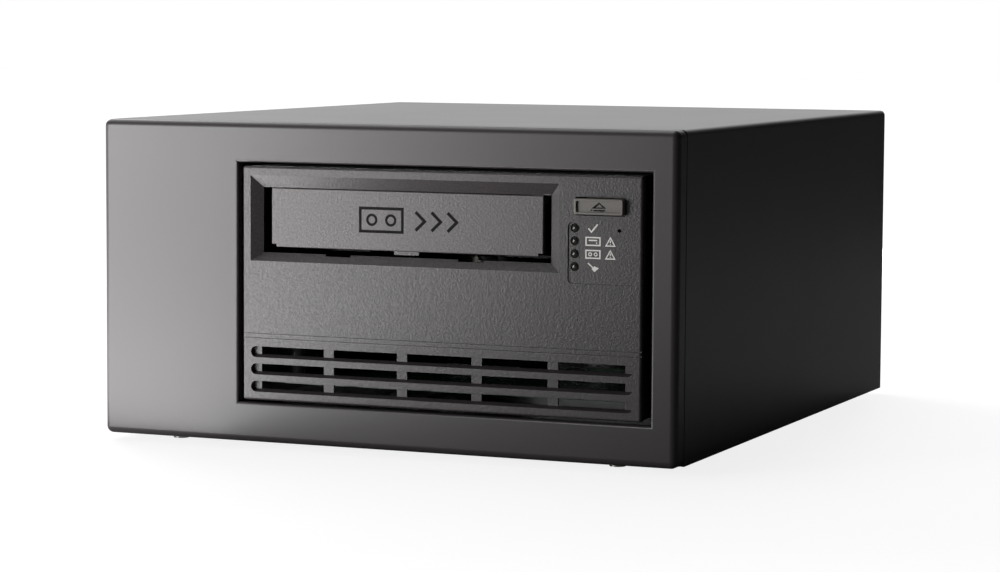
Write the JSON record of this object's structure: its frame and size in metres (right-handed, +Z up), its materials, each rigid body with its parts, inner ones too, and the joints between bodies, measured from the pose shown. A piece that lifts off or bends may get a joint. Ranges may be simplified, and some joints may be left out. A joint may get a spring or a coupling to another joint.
{
  "type": "external tape drive",
  "caption": "Desktop data tape drive: painted metal enclosure with a drive bezel, hinged tape door, eject button, status lamps, vent grille, cartridge loader and rear panel.",
  "frame": {"origin": "bottom centre of the whole object, on the surface that the feet stand on", "axes": "+X to the right seen from the front, +Y to the back, +Z up"},
  "size_m": [0.218, 0.2582, 0.1155],
  "materials": {
    "enclosure_paint": "satin charcoal powder coat",
    "zinc_sheet": "zinc-plated sheet steel",
    "rear_paint": "satin charcoal paint",
    "bezel_plastic": "coarse spark-eroded texture, moulded",
    "button_plastic": "fine matt moulded",
    "smoked_lens": "smoked clear",
    "black_plastic": "moulded black",
    "white_plastic": "natural acetal",
    "foot_rubber": "moulded rubber",
    "screw_steel": "plated steel",
    "cast_aluminium": "die cast",
    "circuit_board": "solder-masked glass epoxy",
    "wire_plastic": "PVC insulation"
  },
  "bodies": {
    "case": {"address_switch": "black_plastic", "base_chassis": "zinc_sheet", "bus_connectors": "screw_steel", "bus_ribbon": "wire_plastic", "carrier_rail_left": "zinc_sheet", "carrier_rail_right": "zinc_sheet", "door_pin": "screw_steel", "door_spring": "screw_steel", "drive_bezel": "bezel_plastic", "drive_bracket_left": "zinc_sheet", "drive_bracket_right": "zinc_sheet", "drive_casting": "cast_aluminium", "drive_lid": "zinc_sheet", "drive_mounting_screws": "screw_steel", "fan_frame": "black_plastic", "fan_guard": "screw_steel", "foot_screws": "screw_steel", "front_board": "circuit_board", "front_panel": "enclosure_paint", "front_panel_screws": "screw_steel", "head_stepper": "screw_steel", "inlet_pins": "screw_steel", "internal_wiring": "wire_plastic", "jack_sockets": "screw_steel", "load_motor": "screw_steel", "main_board": "circuit_board", "mains_inlet": "black_plastic", "power_switch": "black_plastic", "psu_board": "circuit_board", "psu_case": "zinc_sheet", "psu_lid": "zinc_sheet", "rear_panel": "rear_paint", "rear_screws": "screw_steel", "rubber_feet": "foot_rubber", "status_lenses": "smoked_lens", "supply_motor": "screw_steel", "takeup_motor": "screw_steel", "top_cover": "enclosure_paint"},
    "door": {"tape_door": "bezel_plastic"},
    "eject": {"eject_button": "button_plastic"},
    "reset": {"reset_plunger": "black_plastic"},
    "sled": {"loader_sled": "zinc_sheet"},
    "tray": {"cartridge_tray": "zinc_sheet"},
    "gear": {"load_gear": "white_plastic"},
    "motor_rotor": {"motor_pinion": "screw_steel"},
    "hub": {"supply_hub": "screw_steel"},
    "reel": {"takeup_reel": "black_plastic"},
    "roller_1": {"guide_roller_1": "black_plastic"},
    "roller_2": {"guide_roller_2": "black_plastic"},
    "roller_3": {"guide_roller_3": "black_plastic"},
    "roller_4": {"guide_roller_4": "black_plastic"},
    "head": {"head_carriage": "cast_aluminium"},
    "lead_screw": {"head_screw": "screw_steel"},
    "arm": {"threading_arm": "zinc_sheet"},
    "fan_blades": {"fan_rotor": "black_plastic"},
    "rocker": {"power_rocker": "black_plastic"},
    "button_up": {"address_button_up": "black_plastic"},
    "button_down": {"address_button_down": "black_plastic"},
    "digit_wheel": {"address_wheel": "white_plastic"}
  },
  "joints": [
    {"name": "door_swing", "type": "hinge", "parent": "case", "child": "door", "pos_m": [0.009, -0.1218, 0.0949], "axis": [1, 0, 0], "range_deg": [0, 85], "stiffness_Nm_per_rad": 0.002, "springref_deg": -11.46},
    {"name": "eject_press", "type": "slide", "parent": "case", "child": "eject", "axis": [0, 1, 0], "range_m": [0, 0.0015], "stiffness_N_per_m": 400, "springref_m": -0.0005},
    {"name": "reset_press", "type": "slide", "parent": "case", "child": "reset", "axis": [0, 1, 0], "range_m": [0, 0.0004], "stiffness_N_per_m": 300, "springref_m": -0.0002},
    {"name": "sled_slide", "type": "slide", "parent": "case", "child": "sled", "axis": [0, 1, 0], "range_m": [0, 0.04]},
    {"name": "tray_drop", "type": "slide", "parent": "sled", "child": "tray", "axis": [0, 0, 1], "range_m": [-0.008, 0]},
    {"name": "load_gear_spin", "type": "hinge", "parent": "case", "child": "gear", "pos_m": [0.0778, -0.0174, 0.0771], "axis": [0, 0, 1], "range_deg": [-288, 1]},
    {"name": "load_motor_spin", "type": "hinge", "parent": "case", "child": "motor_rotor", "pos_m": [0.0778, -0.0014, 0.0771], "axis": [0, 0, 1], "range_deg": [-1, 534]},
    {"name": "supply_hub_spin", "type": "hinge", "parent": "case", "child": "hub", "pos_m": [0.009, -0.0469, 0.0626], "axis": [0, 0, 1], "continuous": true},
    {"name": "takeup_reel_spin", "type": "hinge", "parent": "case", "child": "reel", "pos_m": [0.054, 0.0421, 0.0654], "axis": [0, 0, 1], "continuous": true},
    {"name": "roller_1_spin", "type": "hinge", "parent": "case", "child": "roller_1", "pos_m": [-0.038, 0.0166, 0.0656], "axis": [0, 0, 1], "continuous": true},
    {"name": "roller_2_spin", "type": "hinge", "parent": "case", "child": "roller_2", "pos_m": [-0.041, 0.0426, 0.0656], "axis": [0, 0, 1], "continuous": true},
    {"name": "roller_3_spin", "type": "hinge", "parent": "case", "child": "roller_3", "pos_m": [-0.022, 0.0596, 0.0656], "axis": [0, 0, 1], "continuous": true},
    {"name": "roller_4_spin", "type": "hinge", "parent": "case", "child": "roller_4", "pos_m": [0.01, 0.0266, 0.0656], "axis": [0, 0, 1], "continuous": true},
    {"name": "head_travel", "type": "slide", "parent": "case", "child": "head", "axis": [0, 0, 1], "range_m": [-0.004, 0.004]},
    {"name": "head_screw_spin", "type": "hinge", "parent": "case", "child": "lead_screw", "pos_m": [-0.024, 0.0386, 0.0606], "axis": [0, 0, 1], "range_deg": [-241, 241]},
    {"name": "arm_swing", "type": "hinge", "parent": "case", "child": "arm", "pos_m": [-0.005, 0.0646, 0.0875], "axis": [0, 0, 1], "range_deg": [0, 90]},
    {"name": "fan_spin", "type": "hinge", "parent": "case", "child": "fan_blades", "pos_m": [-0.016, 0.1219, 0.0685], "axis": [0, 1, 0], "continuous": true},
    {"name": "rocker_tip", "type": "hinge", "parent": "case", "child": "rocker", "pos_m": [-0.08, 0.1191, 0.0605], "axis": [0, 0, 1], "range_deg": [0, 16]},
    {"name": "address_up_press", "type": "slide", "parent": "case", "child": "button_up", "axis": [0, -1, 0], "range_m": [0, 0.001], "stiffness_N_per_m": 300, "springref_m": -0.0003},
    {"name": "address_down_press", "type": "slide", "parent": "case", "child": "button_down", "axis": [0, -1, 0], "range_m": [0, 0.001], "stiffness_N_per_m": 300, "springref_m": -0.0003},
    {"name": "address_wheel_turn", "type": "hinge", "parent": "case", "child": "digit_wheel", "pos_m": [0.058, 0.1191, 0.0365], "axis": [1, 0, 0], "continuous": true}
  ],
  "couplings": [
    {"joint": "load_gear_spin", "follows": "sled_slide", "rad_per_m": -125},
    {"joint": "load_motor_spin", "follows": "sled_slide", "rad_per_m": 232.14},
    {"joint": "head_screw_spin", "follows": "head_travel", "rad_per_m": 1047.2}
  ]
}
